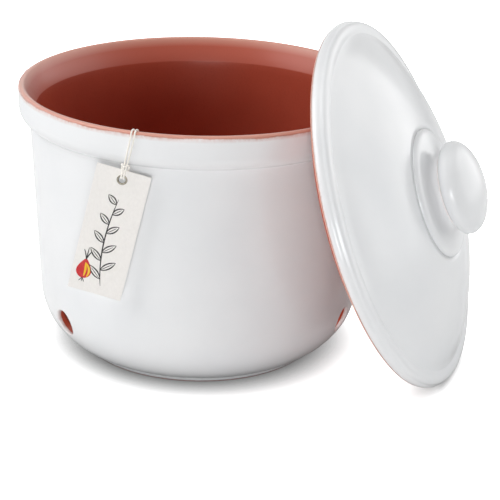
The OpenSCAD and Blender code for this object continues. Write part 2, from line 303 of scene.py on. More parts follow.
def yarn(path, sides=14):
    """The string's twisted yarn of two plies along a path."""
    turn = 2 * math.pi * lengths_along(path)[:, None] / YARN_LAY
    a = 2 * math.pi * np.arange(sides)[None] / sides
    ply = np.abs(np.cos(a - turn))
    r = STRING_D / 2 * (YARN_WAIST + YARN_PLY * ply)
    section = np.stack([r * np.cos(a), r * np.sin(a)], -1)
    return tube_mesh(swept(path, section))


# Nodes of the materials

TEXTURE_SPAN = (0.3, 0.7)
GLAZE_IOR = 1.52


def new_material(name):
    material = bpy.data.materials.new(name)
    material.use_nodes = True
    return material, material.node_tree.nodes["Principled BSDF"]


def add(material, kind, inputs=None, **settings):
    """A node with its settings, and its inputs set or linked."""
    node = material.node_tree.nodes.new(kind)
    for key, value in settings.items():
        setattr(node, key, value)
    for key, value in (inputs or {}).items():
        give(material, node.inputs[key], value)
    return node


def give(material, socket, value):
    if isinstance(value, bpy.types.NodeSocket):
        material.node_tree.links.new(value, socket)
    else:
        socket.default_value = value


def noise(material, scale, detail=3.0, stretch=(1, 1, 1), roughness=0.5):
    place = add(material, "ShaderNodeTexCoord").outputs["Object"]
    mapped = add(material, "ShaderNodeMapping", {"Vector": place, "Scale": stretch})
    return add(material, "ShaderNodeTexNoise", {
        "Vector": mapped.outputs["Vector"], "Scale": scale, "Detail": detail,
        "Roughness": roughness}).outputs["Fac"]


def ramp(material, value, low, high, to_low=0.0, to_high=1.0):
    """The value, spread from low and high to a new range."""
    return add(material, "ShaderNodeMapRange", {
        "Value": value, "From Min": low, "From Max": high,
        "To Min": to_low, "To Max": to_high}).outputs["Result"]


def mixed_colour(material, share, first, second):
    """Two colours mixed by a share."""
    node = add(material, "ShaderNodeMix", data_type="RGBA")
    sockets = [s for s in node.inputs if s.enabled]
    for socket, value in zip(sockets, (share, first, second)):
        give(material, socket, value)
    return [s for s in node.outputs if s.enabled][0]


def toned(material, texture, low, high, first, second):
    """Two colours mixed by a texture, the first where it is low and the second where it is high."""
    return mixed_colour(material, ramp(material, texture, low, high), first, second)


def times(material, a, b):
    return add(material, "ShaderNodeMath", {0: a, 1: b}, operation="MULTIPLY").outputs[0]


def plus(material, a, b):
    return add(material, "ShaderNodeMath", {0: a, 1: b}, operation="ADD").outputs[0]


def dress(material, shader, colour, texture, rough, strength, depth):
    """A colour, a roughness that follows a texture, and that texture as a bump."""
    raised = add(material, "ShaderNodeBump", {
        "Height": texture, "Strength": strength, "Distance": depth}).outputs["Normal"]
    give(material, shader.inputs["Base Color"], colour)
    give(material, shader.inputs["Roughness"], ramp(material, texture, *TEXTURE_SPAN, *rough))
    give(material, shader.inputs["Normal"], raised)


# Share of thin glaze, and of painted shade or painted highlight where the pieces set it
def thin_and_painted_light_share(material):
    return add(material, "ShaderNodeAttribute", attribute_name="thin").outputs["Fac"]


def rgb(r, g, b):
    """A colour given as it looks on screen, from 0 to 255, for a shader."""
    def linear(c):
        c /= 255
        return c / 12.92 if c <= 0.04045 else ((c + 0.055) / 1.055) ** 2.4
    return (linear(r), linear(g), linear(b), 1.0)


def glaze_material():
    """White opaque glaze: glossy, faintly uneven, clay showing through where it is thin; the same clay
    tint in the crease under the knob's head is painted shade.
    """
    material, shader = new_material("white_glaze")
    cloud = noise(material, 14, 4)
    ripple = noise(material, 55, 2)
    white = toned(material, cloud, 0.35, 0.7, rgb(241, 242, 243), rgb(234, 236, 238))
    patches = ramp(material, noise(material, 420, 3), 0.3, 0.65, 0.45, 1.0)
    patchy = times(material, thin_and_painted_light_share(material), patches)
    colour = mixed_colour(material, patchy, white, rgb(205, 140, 118))
    dress(material, shader, colour, ripple, (0.18, 0.26), 0.03, 0.4 * MM)
    shader.inputs["IOR"].default_value = GLAZE_IOR
    return material


def clay_material():
    """Terracotta under a clear gloss, with fine grain and cloudy firing.
    It is dry and paler where the gloss is thin, paler in part as a painted reflection of the bright
    room; its palest colour is a painted highlight on the lip's crest, and the same colour runs along the
    lid's edge."""
    material, shader = new_material("glossed_terracotta")
    cloud = noise(material, 22, 4)
    grain = noise(material, 900, 4, roughness=0.65)
    thin = thin_and_painted_light_share(material)
    fired = toned(material, cloud, 0.3, 0.72, rgb(184, 82, 60), rgb(174, 74, 53))
    specks = ramp(material, grain, 0.52, 0.72, 0.0, 0.35)
    speckled = mixed_colour(material, specks, fired, rgb(152, 62, 44))
    # Paler dry colour on the bare lip and flare, in part a painted reflection; the palest colour on the
    # crest is a painted highlight
    dry_and_painted_reflection = mixed_colour(material, thin, speckled, rgb(196, 100, 80))
    colour = mixed_colour(material, plus(material, thin, -1.0), dry_and_painted_reflection, rgb(216, 154, 136))
    dress(material, shader, colour, grain, (0.34, 0.46), 0.10, 0.15 * MM)
    give(material, shader.inputs["Sheen Weight"], ramp(material, thin, 0, 1, 0, 0.6))
    shader.inputs["Sheen Roughness"].default_value = 0.4
    shader.inputs["Specular IOR Level"].default_value = 0.35
    shader.inputs["Coat Weight"].default_value = 0.15
    shader.inputs["Coat Roughness"].default_value = 0.22
    return material


def paper_material():
    """Off-white uncoated card with a fine felt."""
    material, shader = new_material("felt_card")
    felt = noise(material, 1500, 3, (1, 1, 1.6))
    fibres = noise(material, 700, 3, (1, 1, 0.6))
    colour = toned(material, fibres, 0.3, 0.7, rgb(250, 247, 243), rgb(245, 242, 238))
    dress(material, shader, colour, felt, (0.72, 0.85), 0.2, 0.05 * MM)
    return material


def metal_material():
    """Nickelled brass of the eyelet, faintly brushed."""
    material, shader = new_material("nickelled_eyelet")
    scratches = noise(material, 2600, 3, (1, 0.3, 1))
    colour = toned(material, scratches, 0.35, 0.7, rgb(168, 163, 150), rgb(132, 127, 114))
    dress(material, shader, colour, scratches, (0.29, 0.38), 0.06, 0.05 * MM)
    shader.inputs["Metallic"].default_value = 1.0
    return material


def cotton_material():
    """Cream cotton yarn."""
    material, shader = new_material("cotton_yarn")
    fibres = noise(material, 3800, 4)
    colour = toned(material, fibres, 0.35, 0.7, rgb(255, 253, 248), rgb(250, 244, 234))
    dress(material, shader, colour, fibres, (0.82, 0.95), 0.5, 0.06 * MM)
    shader.inputs["Sheen Weight"].default_value = 0.3
    return material


def ink_material(name, full, dry_and_painted_reflection):
    """Printed ink with the uneven cover of a brush."""
    material, shader = new_material(name)
    cover = noise(material, 700, 3, (1, 1, 0.35))
    colour = toned(material, cover, 0.45, 0.75, full, dry_and_painted_reflection)
    dress(material, shader, colour, cover, (0.5, 0.65), 0.1, 0.03 * MM)
    return material


# String and knot of the tag

lip_turn = turned("Z", STRING_TURN)
lip_at = lip_turn @ np.array([0, -(RIM_R - LIP_ROUND), POT_H - LIP_ROUND])
tag_turn = lip_turn @ turned("Z", TAG_TURN) @ turned("X", TAG_LEAN) @ turned("Y", TAG_TILT)
eyelet_at = lip_at + lip_turn @ TAG_AT
tag_place = (tag_turn, eyelet_at)

# Route of the string's right half, right, inwards and up: from the knot over the lip, in mm from
# the middle of the lip, then through the eyelet and round the loop, in mm from the eyelet's middle
KNOT_AT = np.array([0, 13.5, -62]) * MM
OVER_LIP = np.array([
    (0.6, 13.3, -60), (0.8, 11.9, -50), (0.9, 11.15, -40), (1, 10.55, -28), (1.1, 10, -18),
    (1.15, 9.75, -13.3), (1.15, 9.05, -11.5), (1.15, 7.55, -8), (1.15, 6.05, -4.8), (1.15, 4.65, -2),
    (1.15, 2.75, 1.5), (1.15, 1.9, 2.55), (1.15, 0, 3.2), (1.15, -1.7, 2.75), (1.15, -2.85, 1.5),
    (1.15, -3.3, 0)]) * MM
THROUGH_EYELET = np.array([
    (1.1, -0.5, 25.5), (1.05, -0.5, 22), (1, -0.5, 18), (0.9, -0.5, 14.5), (0.8, -0.5, 11.5),
    (0.75, -0.7, 9.3), (0.75, -1.4, 7), (0.75, -2, 5), (0.75, -2.2, 3.4), (0.75, -1.9, 2.1),
    (0.75, -1.1, 1.2), (0.75, 0, 1), (0.8, 1.1, 1.15), (1, 1.9, 2.1), (1.4, 2.2, 3.4),
    (1.9, 2.1, 5.5), (2.2, 1.6, 7.6), (2.3, 0.7, 9.4), (2.2, -0.5, 10.3), (1.7, -1.6, 10.3),
    (0.9, -2.2, 9.9)]) * MM
LOOP_FRONT = np.array([0, -2.3, 9.7]) * MM
ACROSS = np.array([-1, 1, 1])

# Yarn: its steps, its twist, its softness and its two plies; then the knot and its cut ends
YARN_STEP = 0.2 * MM
YARN_LAY = 2.4 * MM
YARN_SOFT = 0.6 * MM
YARN_WAIST = 0.90
YARN_PLY = 0.16
KNOT_RING = 0.85 * MM
KNOT_LOBE = 0.42 * MM
KNOT_RISE = 1.25 * MM
TAIL_AT = np.array([0.5, -1.2]) * MM
TAIL_SPREAD = 0.25
TAIL_LENGTH = 4 * MM


def half_route(side):
    over = lip_at + (OVER_LIP * side) @ lip_turn.T
    through = eyelet_at + (THROUGH_EYELET * side) @ tag_turn.T
    return np.concatenate([over, through])


def make_string(material):
    right, left = half_route(np.ones(3)), half_route(ACROSS)
    front = eyelet_at + tag_turn @ LOOP_FRONT
    path = soften(np.concatenate([right, [front], left[::-1]]), YARN_SOFT, YARN_STEP)
    verts, faces = yarn(path)
    string = make_piece("tag_string_yarn", verts, faces, material, "pot", ["tag_string"])
    knot = make_knot(material)


def make_knot(material):
    """An overhand knot pulled tight, with the two cut ends below it."""
    t = np.linspace(0, 2 * math.pi, 160)
    ring = KNOT_RING + KNOT_LOBE * np.cos(3 * t)
    trefoil = np.column_stack([ring * np.cos(2 * t), ring * np.sin(2 * t), KNOT_RISE * np.sin(3 * t)])
    s = np.linspace(0, TAIL_LENGTH, 30)
    tails = [np.column_stack([side * (TAIL_AT[0] + TAIL_SPREAD * s), 0 * s, TAIL_AT[1] - s])
             for side in (-1, 1)]
    verts, faces = joined([yarn(lip_at + (KNOT_AT + line) @ lip_turn.T) for line in [trefoil] + tails])
    return make_piece("string_knot_yarn", verts, faces, material, "pot", ["string_knot"])


# Pot

wall_top_r = RIM_R - COLLAR_OUT
collar_at = np.array([RIM_R - COLLAR_ROUND, POT_H - LIP_ROUND - COLLAR_H])
collar_a = -math.degrees(math.acos((wall_top_r + CREASE[0] - collar_at[0]) / COLLAR_ROUND))
wall_top = np.array([wall_top_r,
                     collar_at[1] + COLLAR_ROUND * math.sin(math.radians(collar_a)) - CREASE[1]])
wall_low = np.array([wall_top_r - WALL_TAPER, BASE_Z])
wall_up = (wall_top - wall_low) / np.linalg.norm(wall_top - wall_low)
lip_centre = np.array([RIM_R - LIP_ROUND, POT_H - LIP_ROUND])
glaze_z = lip_centre[1] + LIP_ROUND * math.sin(math.radians(GLAZE_TURN))

# Vents: the rows and half the columns of each gap, soft edges, and the glaze's sleeve in the hole
VENT_ROW_STEP = 2 * MM
VENT_ROWS = VENT_Z + VENT_ROW_STEP * np.arange(-7, 8)
VENT_COLUMNS = 6
VENT_SOFT = 1.1 * MM
VENT_INNER_SOFT = 1.0 * MM
SLEEVE_DEPTH = 2.4 * MM
SLEEVE_BLENDS = (0.3, 0.6, 0.85)

# Glaze: how thin its edge is, how far in it thins, and how far in the clay shows through
THIN_EDGE = 0.12 * MM
THIN_REACH = 3.5 * MM
POT_SHOW = 0.7 * MM
LID_SHOW = 0.6 * MM

# Softness of the pot's corners, and the distance within which doubled points are joined
OUTSIDE_SOFT = 0.7 * MM
INSIDE_SOFT = 0.5 * MM
WELD = 1e-6


def rounding(start, width, height, sweep, count=40):
    """A rounding that leaves the wall at the start and turns in below it."""
    a = np.radians(np.linspace(0, sweep, count + 1))[:, None]
    return start - width * (1 - np.cos(a)) * np.array([1, 0]) - height * np.sin(a) * wall_up


base_rise = (BASE_Z - FOOT_H) / (math.sin(math.radians(BASE_SWEEP)) * wall_up[1])
base_in = ((wall_low[0] - FOOT_R - base_rise * math.sin(math.radians(BASE_SWEEP)) * wall_up[0])
           / (1 - math.cos(math.radians(BASE_SWEEP))))


def with_rows(line, heights):
    """A line of radius and height with rows at just these heights between the first and last of them,
    and the index of the lowest one."""
    rising = line[-1, 1] > line[0, 1]
    up = line if rising else line[::-1]
    below, above = up[up[:, 1] < heights[0] - MM], up[up[:, 1] > heights[-1] + MM]
    rows = np.column_stack([np.interp(heights, up[:, 1], up[:, 0]), heights])
    full = np.concatenate([below, rows, above])
    if rising:
        return full, len(below)
    return full[::-1], len(full) - 1 - len(below)


def behind_glaze(outer, edge):
    """The clay's face behind a glaze that thins out towards its edge, given the way to that edge."""
    depth = THIN_EDGE + (GLAZE_T - THIN_EDGE) * smooth_step(edge / THIN_REACH)
    return outer - depth[:, None] * normals(outer)


def pot_outside():
    """The glazed outside, from the foot to the glaze line, the clay's face behind the glaze,
    the index of the vents' lowest row, and the way left to the glaze line."""
    line = np.concatenate([
        [[FOOT_R, BARE_H]], rounding(wall_low, base_in, base_rise, BASE_SWEEP)[::-1], [wall_top],
        arc(collar_at, COLLAR_ROUND, collar_a, 0), arc(lip_centre, LIP_ROUND, 0, GLAZE_TURN)])
    outer, first = with_rows(thinned(soften(line, OUTSIDE_SOFT)), VENT_ROWS)
    along = lengths_along(outer)
    return outer, behind_glaze(outer, np.minimum(along, along[-1] - along)), first, along[-1] - along


def pot_inside():
    """The bare lip, the gallery and the inside, from the lip's outer side to the middle of the floor."""
    wall_n = np.array([wall_up[1], -wall_up[0]])
    wall_k = wall_n @ wall_low - WALL_T

    def inner_wall(z):
        return np.array([(wall_k - wall_n[1] * z) / wall_n[0], z])

    gallery_low = np.array([RIM_R - GALLERY_IN, POT_H - GALLERY_DEPTH])
    gallery_top = np.array([RIM_R - GALLERY_IN + GALLERY_FLARE, POT_H - LIP_DROP])
    inner_low = inner_wall(FLOOR_T + INNER_RISE)
    inner_in = inner_low[0] - wall_low[0] + base_in
    reach = gallery_top - lip_centre
    lip_end = (math.degrees(math.atan2(reach[1], reach[0])) + 360
               - math.degrees(math.acos(LIP_ROUND / np.linalg.norm(reach))))
    lip = arc(lip_centre, LIP_ROUND, GLAZE_TURN, lip_end)
    down = gallery_low - gallery_top
    roll = curve(lip[-1], gallery_top, gallery_top + ROLL_H * down / np.linalg.norm(down))
    line = np.concatenate([
        lip, roll[1:], [gallery_low],
        rounding(inner_low, inner_in, INNER_RISE / wall_up[1], 90), [[0, FLOOR_T]]])
    return with_rows(thinned(soften(line, INSIDE_SOFT)), VENT_ROWS)


def lifted(line):
    """Where a sideways and upward distance from a vent's middle meets a turned line."""
    up = line if line[-1, 1] > line[0, 1] else line[::-1]

    def meets(ab):
        r = np.interp(VENT_Z + ab[:, 1], up[:, 1], up[:, 0])
        return np.sqrt(r ** 2 - ab[:, 0] ** 2)
    return meets


def vent_rings(outer_ab, inner_ab, outer_x, inner_x, steps):
    """Rings from the edge of a gap in the outer sheet through a round hole to the gap in the inner one.
    Each step is a radius, the sheet it hangs from, and how far inwards of it."""
    way = np.arctan2(outer_ab[:, 1], outer_ab[:, 0])
    around = np.column_stack([np.cos(way), np.sin(way)])

    def blend(edge, circle, share, x):
        ab = edge * (1 - share) + circle * share
        return np.column_stack([x(ab), ab])

    first, last = steps[0][0] * around, steps[-1][0] * around
    rings = [blend(outer_ab, first, s, outer_x) for s in SLEEVE_BLENDS]
    for radius, x, depth in steps:
        ab = radius * around
        rings.append(np.column_stack([x(ab) - depth, ab]))
    return rings + [blend(inner_ab, last, s, inner_x) for s in SLEEVE_BLENDS[::-1]]


def fillet_steps(radius, soft, x, sign):
    """Rings of a soft edge at the mouth of a hole, from the sheet into the hole."""
    return [(radius + soft * (1 - math.sin(t)), x, sign * soft * (1 - math.cos(t)))
            for t in np.radians(np.linspace(0, 90, 8))]


def block_edge(rows):
    """The grid places round a vent's gap: row and column, once round."""
    c, last = VENT_COLUMNS, len(rows) - 1
    low = [(rows[0], j) for j in range(-c, c + 1)]
    right = [(rows[i], c) for i in range(1, last + 1)]
    high = [(rows[last], j) for j in range(c - 1, -c - 1, -1)]
    left = [(rows[i], -c) for i in range(last - 1, 0, -1)]
    return low + right + high + left


def vented_lathe(outline, closed, outer_rows, inner_rows, steps_for, bend=None):
    """Points, faces and ring numbers of a turned outline with round holes through its two sheets."""
    grid = spun(outline, VENT_TURN)
    if bend is not None:
        grid = bend(grid)
    gaps = set()
    for vent in range(VENT_COUNT):
        middle = vent * SEGMENTS // VENT_COUNT
        columns = [(middle + j) % SEGMENTS for j in range(-VENT_COLUMNS, VENT_COLUMNS)]
        for rows in (outer_rows, inner_rows):
            gaps |= {(min(i, k), j) for i, k in zip(rows[:-1], rows[1:]) for j in columns}
    verts = list(grid.reshape(-1, 3))
    faces = grid_faces(len(outline), SEGMENTS, closed, gaps)
    ring_of = [-1] * len(verts)
    outer_x, inner_x = lifted(outline[outer_rows]), lifted(outline[inner_rows])
    for vent in range(VENT_COUNT):
        middle = vent * SEGMENTS // VENT_COUNT
        turn = turned("Z", VENT_TURN + 360 * vent / VENT_COUNT)
        edges = [[row * SEGMENTS + (middle + j) % SEGMENTS for row, j in block_edge(rows)]
                 for rows in (outer_rows, inner_rows)]
        outer_ab, inner_ab = (
            (np.array([verts[i] for i in edge]) @ turn)[:, 1:] - (0, VENT_Z) for edge in edges)
        rings = vent_rings(outer_ab, inner_ab, outer_x, inner_x, steps_for(outer_x, inner_x))
        loops = [edges[0]]
        for number, ring in enumerate(rings):
            loops.append(list(range(len(verts), len(verts) + len(ring))))
            verts += list((ring + (0, 0, VENT_Z)) @ turn.T)
            ring_of += [number] * len(ring)
        loops.append(edges[1])
        for near, far in zip(loops[:-1], loops[1:]):
            for m in range(len(near)):
                n = (m + 1) % len(near)
                faces.append((near[m], near[n], far[n], far[m]))
    return np.array(verts), faces, np.array(ring_of)


def coat_steps(outer_x, inner_x):
    """The glaze turns into the hole as a thin sleeve and back along the clay."""
    back = VENT_R + GLAZE_T
    end = [(VENT_R + GLAZE_T / 2 * (1 - math.cos(u)), outer_x, SLEEVE_DEPTH + GLAZE_T / 2 * math.sin(u))
           for u in np.radians([0, 45, 90, 135, 180])]
    return (fillet_steps(VENT_R, VENT_SOFT, outer_x, 1) + end
            + fillet_steps(back, VENT_SOFT - GLAZE_T, inner_x, 1)[::-1])


def clay_steps(outer_x, inner_x):
    """The clay's hole, behind the glaze, to the inside of the wall."""
    bore = VENT_R + GLAZE_T
    return (fillet_steps(bore, VENT_SOFT - GLAZE_T, outer_x, 1)
            + fillet_steps(bore, VENT_INNER_SOFT, inner_x, -1)[::-1])


# Waves of the glaze line: height in mm, number round the rim, and phase
GLAZE_WAVES = ((0.22, 7, 0.4), (0.18, 13, 2.1), (0.14, 29, 4.0), (0.10, 47, 1.2))
WAVE_REACH = 3 * MM
WAVE_OVER = 0.5 * MM
WAVE_FADE = 0.4 * MM

# How far the clay shows through along the rings of a vent's sleeve
SLEEVE_RINGS = (2, 6, 10, 12, 16, 17)
SLEEVE_SHOW = (0, 0.25, 0.2, 1, 1, 0)

# Dry clay of the lip, paler in part as a painted reflection: how softly it starts above the gallery, and
# the reach of the painted highlight on the crest
FLARE_FADE = 0.8 * MM
CREST_HIGHLIGHT_DROP = 5 * MM
CREST_HIGHLIGHT_FADE = 4.5 * MM


def wavy_glaze(grid):
    """Lets the rows near the glaze line rise and fall along the rim."""
    a = np.arctan2(grid[..., 1], grid[..., 0])
    wave = sum(h * MM * np.sin(n * a + p) for h, n, p in GLAZE_WAVES)
    share = smooth_step((grid[..., 2] - (glaze_z - WAVE_REACH)) / WAVE_REACH)
    share = share * smooth_step((glaze_z + WAVE_OVER - grid[..., 2]) / WAVE_FADE + 0.2)
    moved = grid.copy()
    moved[..., 2] += wave * share
    return moved


def make_pot(clay, glaze):
    outer, behind, first, edge = pot_outside()
    inside, inner_first = pot_inside()
    count = len(VENT_ROWS)

    outline = np.concatenate([outer, behind[::-1]])
    outer_rows = np.arange(first, first + count)
    inner_rows = len(outline) - 1 - outer_rows
    verts, faces, ring_of = vented_lathe(outline, True, outer_rows, inner_rows, coat_steps, wavy_glaze)
    thin = np.zeros(len(verts))
    row_thin = np.exp(-np.concatenate([edge, edge[::-1]]) / POT_SHOW)
    thin[:len(outline) * SEGMENTS] = np.repeat(row_thin, SEGMENTS)
    sleeve = np.interp(ring_of, SLEEVE_RINGS, SLEEVE_SHOW)
    thin[ring_of >= 0] = sleeve[ring_of >= 0]
    make_piece("pot_coat", verts, faces, glaze, "pot", ["pot_glaze"], thin=thin)

    foot = np.array([(r, 0) for r in (0, FOOT_R / 2, FOOT_R - 2 * FOOT_CHAMFER, FOOT_R - FOOT_CHAMFER)])
    outline = np.concatenate([foot, behind, inside])
    outer_rows = len(foot) + first + np.arange(count)
    inner_rows = len(foot) + len(behind) + inner_first - np.arange(count)
    verts, faces, ring_of = vented_lathe(outline, False, outer_rows, inner_rows, clay_steps)
    # Dry clay on the lip and the flare, paler in part as a painted reflection, and a painted highlight
    # along the crest
    thin = (smooth_step((verts[:, 2] - (POT_H - GALLERY_DEPTH)) / FLARE_FADE + 0.5)
            + smooth_step((verts[:, 2] - (POT_H - CREST_HIGHLIGHT_DROP)) / CREST_HIGHLIGHT_FADE))
    make_piece("pot_clay", verts, faces, clay, "pot", ["pot_body"], thin=thin, welded=WELD)


# Lid

lid_turn = turned("Z", -LID_TURN) @ turned("Y", 90 - LID_LEAN)


def lid_place():
    """The lid's own frame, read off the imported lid: the middle of its lower edge."""
    points = np.array([v.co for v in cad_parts["lid_body"].data.vertices]) @ lid_turn
    low, high = points.min(0), points.max(0)
    middle = np.array([(low[0] + high[0]) / 2, (low[1] + high[1]) / 2, low[2] + FLANGE_H])
    return lid_turn, lid_turn @ middle


# Soft corners of the lid, its pale edge, the foot and the neck of the knob, and the painted shade in the
# crease between the knob's neck and head
DOME_INSET = 0.6 * MM
COAT_SOFT = 0.25 * MM
UNDER_SOFT = 0.6 * MM
PALE_WIDTH = 4 * MM
PALE_FADE = 2 * MM
KNOB_EDGE = 0.3 * MM
KNOB_SOFT = 0.6 * MM
NECK_PULL = np.array([1, 0.6]) * MM
NECK_PAINTED_SHADE = 0.25
NECK_SHADE_REACH = 0.7 * MM
NECK_SHADE_WIDTH = 2 * MM

lid_crease = GROOVE + BEAD
dome_top = lid_crease[1] + DOME_RISE
band_low = np.array([LID_R, LID_EDGE])


def dome_line(start, end, drop, count=40):
    r = np.linspace(start, end, count + 1)
    s = (lid_crease[0] - r) / (lid_crease[0] - KNOB_R)
    crown = lid_crease[1] + DOME_RISE / 2 + DOME_CROWN
    z = (1 - s) ** 2 * lid_crease[1] + 2 * s * (1 - s) * crown + s ** 2 * dome_top
    return np.column_stack([r, z - drop])


def turned_piece(name, outline, closed, material, node, thin=None):
    verts = spun(outline).reshape(-1, 3)
    faces = grid_faces(len(outline), SEGMENTS, closed)
    if thin is not None:
        thin = np.repeat(thin, SEGMENTS)
    welded = 0 if closed else WELD
    make_piece(name, verts, faces, material, "lid", [node], lid_place(), thin, welded)


def make_lid(clay, glaze):
    line = np.concatenate([
        bulge(band_low, GROOVE, BAND_SWELL), curve(GROOVE, BEAD_SHOULDER, BEAD_TOP)[1:],
        curve(BEAD_TOP, BEAD_INNER, lid_crease)[1:], dome_line(lid_crease[0] - DOME_INSET, KNOB_R, 0)])
    outer = thinned(soften(line, COAT_SOFT))
    edge = lengths_along(outer)
    behind = behind_glaze(outer, edge)
    thin = np.exp(-edge / LID_SHOW)
    turned_piece("lid_coat", np.concatenate([outer, behind[::-1]]), True, glaze, "lid_glaze",
                 np.concatenate([thin, thin[::-1]]))

    flange_out = RIM_R - GALLERY_IN - FLANGE_PLAY
    flange_in = flange_out - FLANGE_T
    flange_round = FLANGE_T / 3
    under = np.concatenate([
        [(0, dome_top - LID_T)], dome_line(KNOB_R, flange_in, LID_T),
        arc((flange_in + flange_round, flange_round - FLANGE_H), flange_round, 180, 270),
        arc((flange_out - flange_round, flange_round - FLANGE_H), flange_round, -90, 0),
        [(flange_out, 0)], arc((LID_R - LID_EDGE, LID_EDGE), LID_EDGE, -90, 0)])
    under = thinned(soften(under, UNDER_SOFT))
    outline = np.concatenate([under, behind, [(0, dome_top - GLAZE_T)]])
    pale = 2 * smooth_step((outline[:, 0] - (LID_R - PALE_WIDTH)) / PALE_FADE)
    turned_piece("lid_clay", outline, False, clay, "lid_body", pale)


def squared(share):
    """The other side of a squared off circle: how far out at a share of its height, or how high."""
    return (1 - share ** HEAD_SQUARE) ** (1 / HEAD_SQUARE)


def make_knob(glaze):
    shoulder = np.array([KNOB_R, dome_top]) + SHOULDER
    widest = dome_top + HEAD_Z - HEAD_SINK
    below, above = HEAD_T / 2 - HEAD_SINK, HEAD_T / 2 + HEAD_SINK
    tuck = squared(NECK_R / HEAD_R)
    neck = np.array([NECK_R, widest - tuck * below])
    u = tuck * np.cos(np.linspace(0, math.pi / 2, 30))
    under = np.column_stack([HEAD_R * squared(u), widest - u * below])
    a = np.linspace(0, math.pi / 2, 60)[1:]
    side = np.concatenate([
        [(KNOB_R, dome_top - GLAZE_T), (KNOB_R, dome_top + KNOB_EDGE)],
        curve((KNOB_R, dome_top + KNOB_EDGE), (KNOB_R - MM, shoulder[1]), shoulder),
        curve(shoulder, NECK_PULL + (neck[0], shoulder[1]), neck)[1:], under[1:],
        np.column_stack([HEAD_R * np.cos(a), widest + above * np.sin(a)])])
    side = thinned(soften(side, KNOB_SOFT))
    side[-1, 0] = 0
    outline = np.concatenate([[(0, dome_top - GLAZE_T)], side])
    # Painted shade: a clay tint in the crease where the knob's head meets its neck
    near = np.exp(-((outline[:, 1] - neck[1]) / NECK_SHADE_REACH) ** 2)
    at_neck = outline[:, 0] < NECK_R + NECK_SHADE_WIDTH
    turned_piece("lid_knob_head", outline, False, glaze, "lid_knob", NECK_PAINTED_SHADE * near * at_neck)


# Tag

# Card, eyelet, and the ink of the sprig and the bulb
CARD_BEVEL = 0.1 * MM
EYELET_SEGMENTS = 96
EYELET_SOFT = 0.08 * MM
INK_T = 0.03 * MM
INK_STEP = 0.002 * MM
STEM = np.array([(2.5, -73), (-5, -46), (1, -13)]) * MM
LEAF_COUNT = 9
LEAF_LENGTH = 12 * MM
LEAF_BELLY = 1.7 * MM
LEAF_ANGLE = 48
PEN = 0.42 * MM
BULB_LOW = np.array([-9.6, -71]) * MM
BULB_H = 13.5 * MM
BULB_R = 5.2 * MM
SHINE = 0.7 * MM
ROOT_H = 2.4 * MM


def make_card(material):
    """The card with its punched hole and softly cut edges."""
    half = np.array([CARD_W / 2, CARD_L / 2])
    middle_z = EYELET_IN - CARD_L / 2
    hole_r = EYELET_R + EYELET_WALL
    sides = []
    for (x0, z0), (x1, z1), count in (((1, -1), (1, 1), 40), ((1, 1), (-1, 1), 16),
                                      ((-1, 1), (-1, -1), 40), ((-1, -1), (1, -1), 16)):
        s = np.linspace(0, 1, count, endpoint=False)[:, None]
        sides.append((1 - s) * (x0, z0) + s * np.array((x1, z1)))
    edge = np.concatenate(sides)
    full = edge * half + (0, middle_z)
    cut = edge * (half - CARD_BEVEL) + (0, middle_z)
    way = np.arctan2(full[:, 1], full[:, 0])
    hole = hole_r * np.column_stack([np.cos(way), np.sin(way)])
    front, inner = -CARD_T / 2, CARD_T / 2 - CARD_BEVEL
    loops = [(hole, front), (cut, front), (full, -inner), (full, inner), (cut, -front), (hole, -front)]
    verts = np.concatenate([np.column_stack([p[:, 0], np.full(len(p), y), p[:, 1]]) for p, y in loops])
    faces = grid_faces(len(loops), len(edge), True)
    make_piece("tag_card_felt", verts, faces, material, "tag", ["tag_card"], tag_place,
               smooth=False)


def brushed(p, q, r, width, count=28):
    """A brush stroke from p to r, pulled towards q: its line and its half widths, thin at both ends."""
    s = np.linspace(0, 1, count + 1)
    return curve(p, q, r, count), width * (0.2 + 0.8 * np.sin(math.pi * s) ** 0.6)


def sprig_strokes():
    """A stem along the card with leaves in outline to both sides."""
    strokes = [brushed(*STEM, PEN)]
    for i in range(LEAF_COUNT):
        s = 0.08 + 0.86 * i / (LEAF_COUNT - 1)
        foot = curve(*STEM, 100)[round(100 * s)]
        side = 1 if i % 2 else -1
        lean = math.radians(side * LEAF_ANGLE)
        way = np.array([math.sin(lean), math.cos(lean)])
        across = np.array([way[1], -way[0]])
        length = LEAF_LENGTH * (1 - 0.35 * s)
        tip, middle = foot + length * way, foot + 0.45 * length * way
        for belly in (-2 * LEAF_BELLY, 2 * LEAF_BELLY):
            strokes.append(brushed(foot, middle + belly * across, tip, PEN))
        strokes.append(brushed(foot, middle, foot + 0.8 * length * way, 0.5 * PEN))
    return strokes


def bulb_strokes():
    """An onion painted in red, a golden stroke on it, and its dark shoots and roots."""
    s = np.linspace(0, 1, 41)
    body = BULB_LOW + np.outer(s, (0, BULB_H))
    width = BULB_R * (np.sin(math.pi * s ** 0.8) ** 0.75 * (1 - 0.35 * s) + 0.05)
    top = BULB_LOW + (0, BULB_H)
    low = BULB_LOW + (0, 0.1 * BULB_H)
    shine = [brushed(low + (x, 0), low + (2.2 * x, 0.4 * BULB_H), top - (0, 0.2 * BULB_H), SHINE)
             for x in (0.12 * BULB_R, 0.45 * BULB_R)]
    shoots = [brushed(top - (0, MM), top + (x * 0.3, 0.25 * BULB_H), top + (x, h * BULB_H), 0.8 * PEN)
              for x, h in ((-2.6 * MM, 0.45), (0.2 * MM, 0.6), (2.4 * MM, 0.4))]
    foot = BULB_LOW + (0, 0.5 * MM)
    roots = [brushed(foot, BULB_LOW + (0.5 * x, -MM), BULB_LOW + (x, -ROOT_H), 0.5 * PEN)
             for x in (-1.8 * MM, 0.1 * MM, 1.7 * MM)]
    return [(body, width)], shine, shoots + roots


